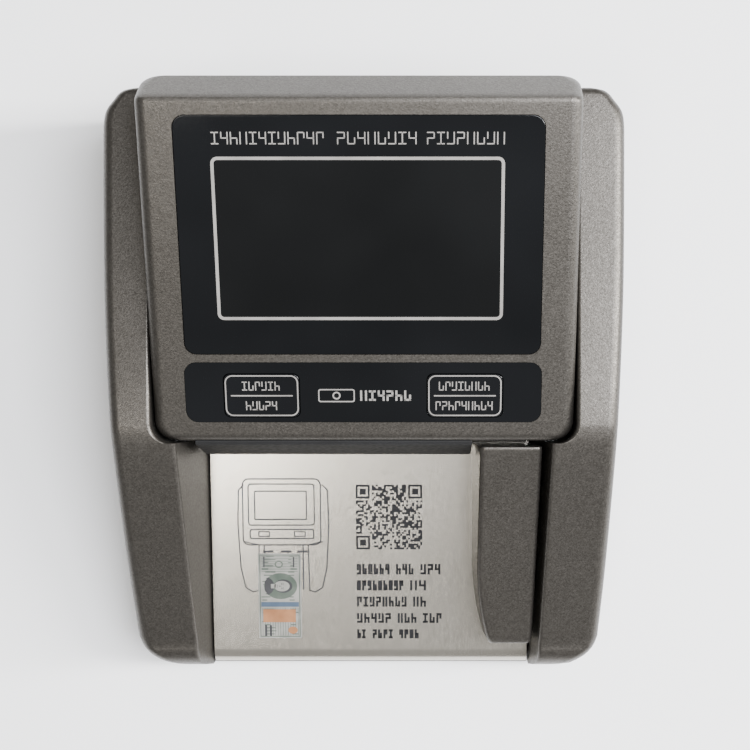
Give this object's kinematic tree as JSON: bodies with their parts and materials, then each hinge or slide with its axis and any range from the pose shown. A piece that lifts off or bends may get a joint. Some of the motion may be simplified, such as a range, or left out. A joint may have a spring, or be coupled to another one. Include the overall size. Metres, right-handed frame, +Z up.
{
  "type": "counterfeit bill detector",
  "caption": "Desktop banknote detector: a note tray between two side wings feeds rollers under a hinged head with a display window and keys.",
  "frame": {"origin": "centre of the bounding box at the height of the feet's soles", "axes": "+Z up, +Y to the rear, +X to the user's right"},
  "size_m": [0.132, 0.15, 0.07],
  "materials": {
    "housing_plastic": "fine textured metallic grey brown",
    "base_plastic": "fine textured, darker",
    "dark_plastic": "satin",
    "gloss_panel": "polished black",
    "key_gloss": "polished black",
    "tray_steel": "satin brushed",
    "frame_steel": "zinc plated",
    "shaft_steel": "ground",
    "screw_steel": "zinc plated",
    "roller_rubber": "matte",
    "foot_rubber": "matte",
    "belt_rubber": "matte",
    "nylon": "natural nylon",
    "brass": "machined",
    "motor_case": "plated",
    "circuit_board": "green solder mask",
    "sensor_window": "tinted clear",
    "lcd_glass": "unlit display",
    "battery_wrap": "heat shrink",
    "port_metal": "plated"
  },
  "bodies": {
    "base": {"base_bottom_shell": "base_plastic", "rubber_feet": "foot_rubber", "base_screws": "screw_steel", "left_side_cover": "housing_plastic", "right_side_cover": "housing_plastic", "left_frame": "frame_steel", "right_frame": "frame_steel", "frame_screws": "screw_steel", "note_tray": "tray_steel", "lower_guide": "dark_plastic", "shaft_bushings": "nylon", "drive_motor": "motor_case", "main_board": "circuit_board", "buzzer": "dark_plastic", "power_jack": "dark_plastic", "usb_port": "port_metal", "power_switch_housing": "dark_plastic", "battery_pack": "battery_wrap", "hinge_pins": "shaft_steel", "feed_belt": "belt_rubber", "lower_sensor_board": "circuit_board", "lower_sensor_window": "sensor_window", "latch_catches": "frame_steel"},
    "rear_feed": {"rear_drive_shaft": "shaft_steel", "rear_feed_rollers": "roller_rubber", "drive_gear": "nylon", "rear_pulley": "nylon"},
    "front_feed": {"front_drive_shaft": "shaft_steel", "front_feed_rollers": "roller_rubber", "front_pulley": "nylon"},
    "motor_rotor": {"motor_shaft": "shaft_steel", "motor_pinion": "brass"},
    "head": {"head_top_shell": "housing_plastic", "head_lower_guide": "dark_plastic", "inlet_bar": "dark_plastic", "display_window": "gloss_panel", "lcd_module": "lcd_glass", "key_panel": "gloss_panel", "head_board": "circuit_board", "tact_switches": "port_metal", "magnetic_sensor": "frame_steel", "uv_lamp_board": "circuit_board", "upper_sensor_window": "sensor_window", "pinch_springs": "frame_steel", "head_screws": "screw_steel", "latch_tongues": "frame_steel"},
    "report_button": {"report_key": "key_gloss"},
    "currency_button": {"currency_key": "key_gloss"},
    "front_pinch": {"front_pinch_shaft": "shaft_steel", "front_pinch_rollers": "roller_rubber"},
    "rear_pinch": {"rear_pinch_shaft": "shaft_steel", "rear_pinch_rollers": "roller_rubber"},
    "width_guide": {"note_guide": "housing_plastic"},
    "rocker": {"power_rocker": "dark_plastic"},
    "door": {"battery_door": "base_plastic"}
  },
  "joints": [
    {"name": "head_hinge", "type": "hinge", "parent": "base", "child": "head", "pos_m": [0, 0.0685, 0.038], "axis": [-1, 0, 0], "range_deg": [0, 60]},
    {"name": "rear_feed_spin", "type": "hinge", "parent": "base", "child": "rear_feed", "pos_m": [0, 0.04693, 0.01945], "axis": [1, 0, 0], "continuous": true},
    {"name": "front_feed_spin", "type": "hinge", "parent": "base", "child": "front_feed", "pos_m": [0, 0.00293, 0.01327], "axis": [1, 0, 0], "continuous": true},
    {"name": "motor_spin", "type": "hinge", "parent": "base", "child": "motor_rotor", "pos_m": [0, 0.03286, 0.01319], "axis": [1, 0, 0], "continuous": true},
    {"name": "front_pinch_spin", "type": "hinge", "parent": "head", "child": "front_pinch", "pos_m": [0, 0.00124, 0.0253], "axis": [1, 0, 0], "continuous": true},
    {"name": "rear_pinch_spin", "type": "hinge", "parent": "head", "child": "rear_pinch", "pos_m": [0, 0.04524, 0.03148], "axis": [1, 0, 0], "continuous": true},
    {"name": "report_press", "type": "slide", "parent": "head", "child": "report_button", "axis": [0, 0.313, -0.9498], "range_m": [0, 0.0005], "stiffness_N_per_m": 800, "springref_m": -0.0004},
    {"name": "currency_press", "type": "slide", "parent": "head", "child": "currency_button", "axis": [0, 0.313, -0.9498], "range_m": [0, 0.0005], "stiffness_N_per_m": 800, "springref_m": -0.0004},
    {"name": "guide_lift_off", "type": "slide", "parent": "base", "child": "width_guide", "axis": [0, -0.1392, 0.9903], "range_m": [0, 0.045]},
    {"name": "power_rocker_tilt", "type": "hinge", "parent": "base", "child": "rocker", "pos_m": [0.022, 0.0718, 0.017], "axis": [0, 0, 1], "range_deg": [-8, 8]},
    {"name": "battery_door_slide", "type": "slide", "parent": "base", "child": "door", "axis": [0, -1, 0], "range_m": [0, 0.062]}
  ],
  "couplings": [
    {"joint": "front_feed_spin", "follows": "rear_feed_spin", "ratio": 1},
    {"joint": "motor_spin", "follows": "rear_feed_spin", "ratio": -2.1429},
    {"joint": "front_pinch_spin", "follows": "rear_feed_spin", "ratio": -1.4},
    {"joint": "rear_pinch_spin", "follows": "rear_feed_spin", "ratio": -1.4}
  ]
}
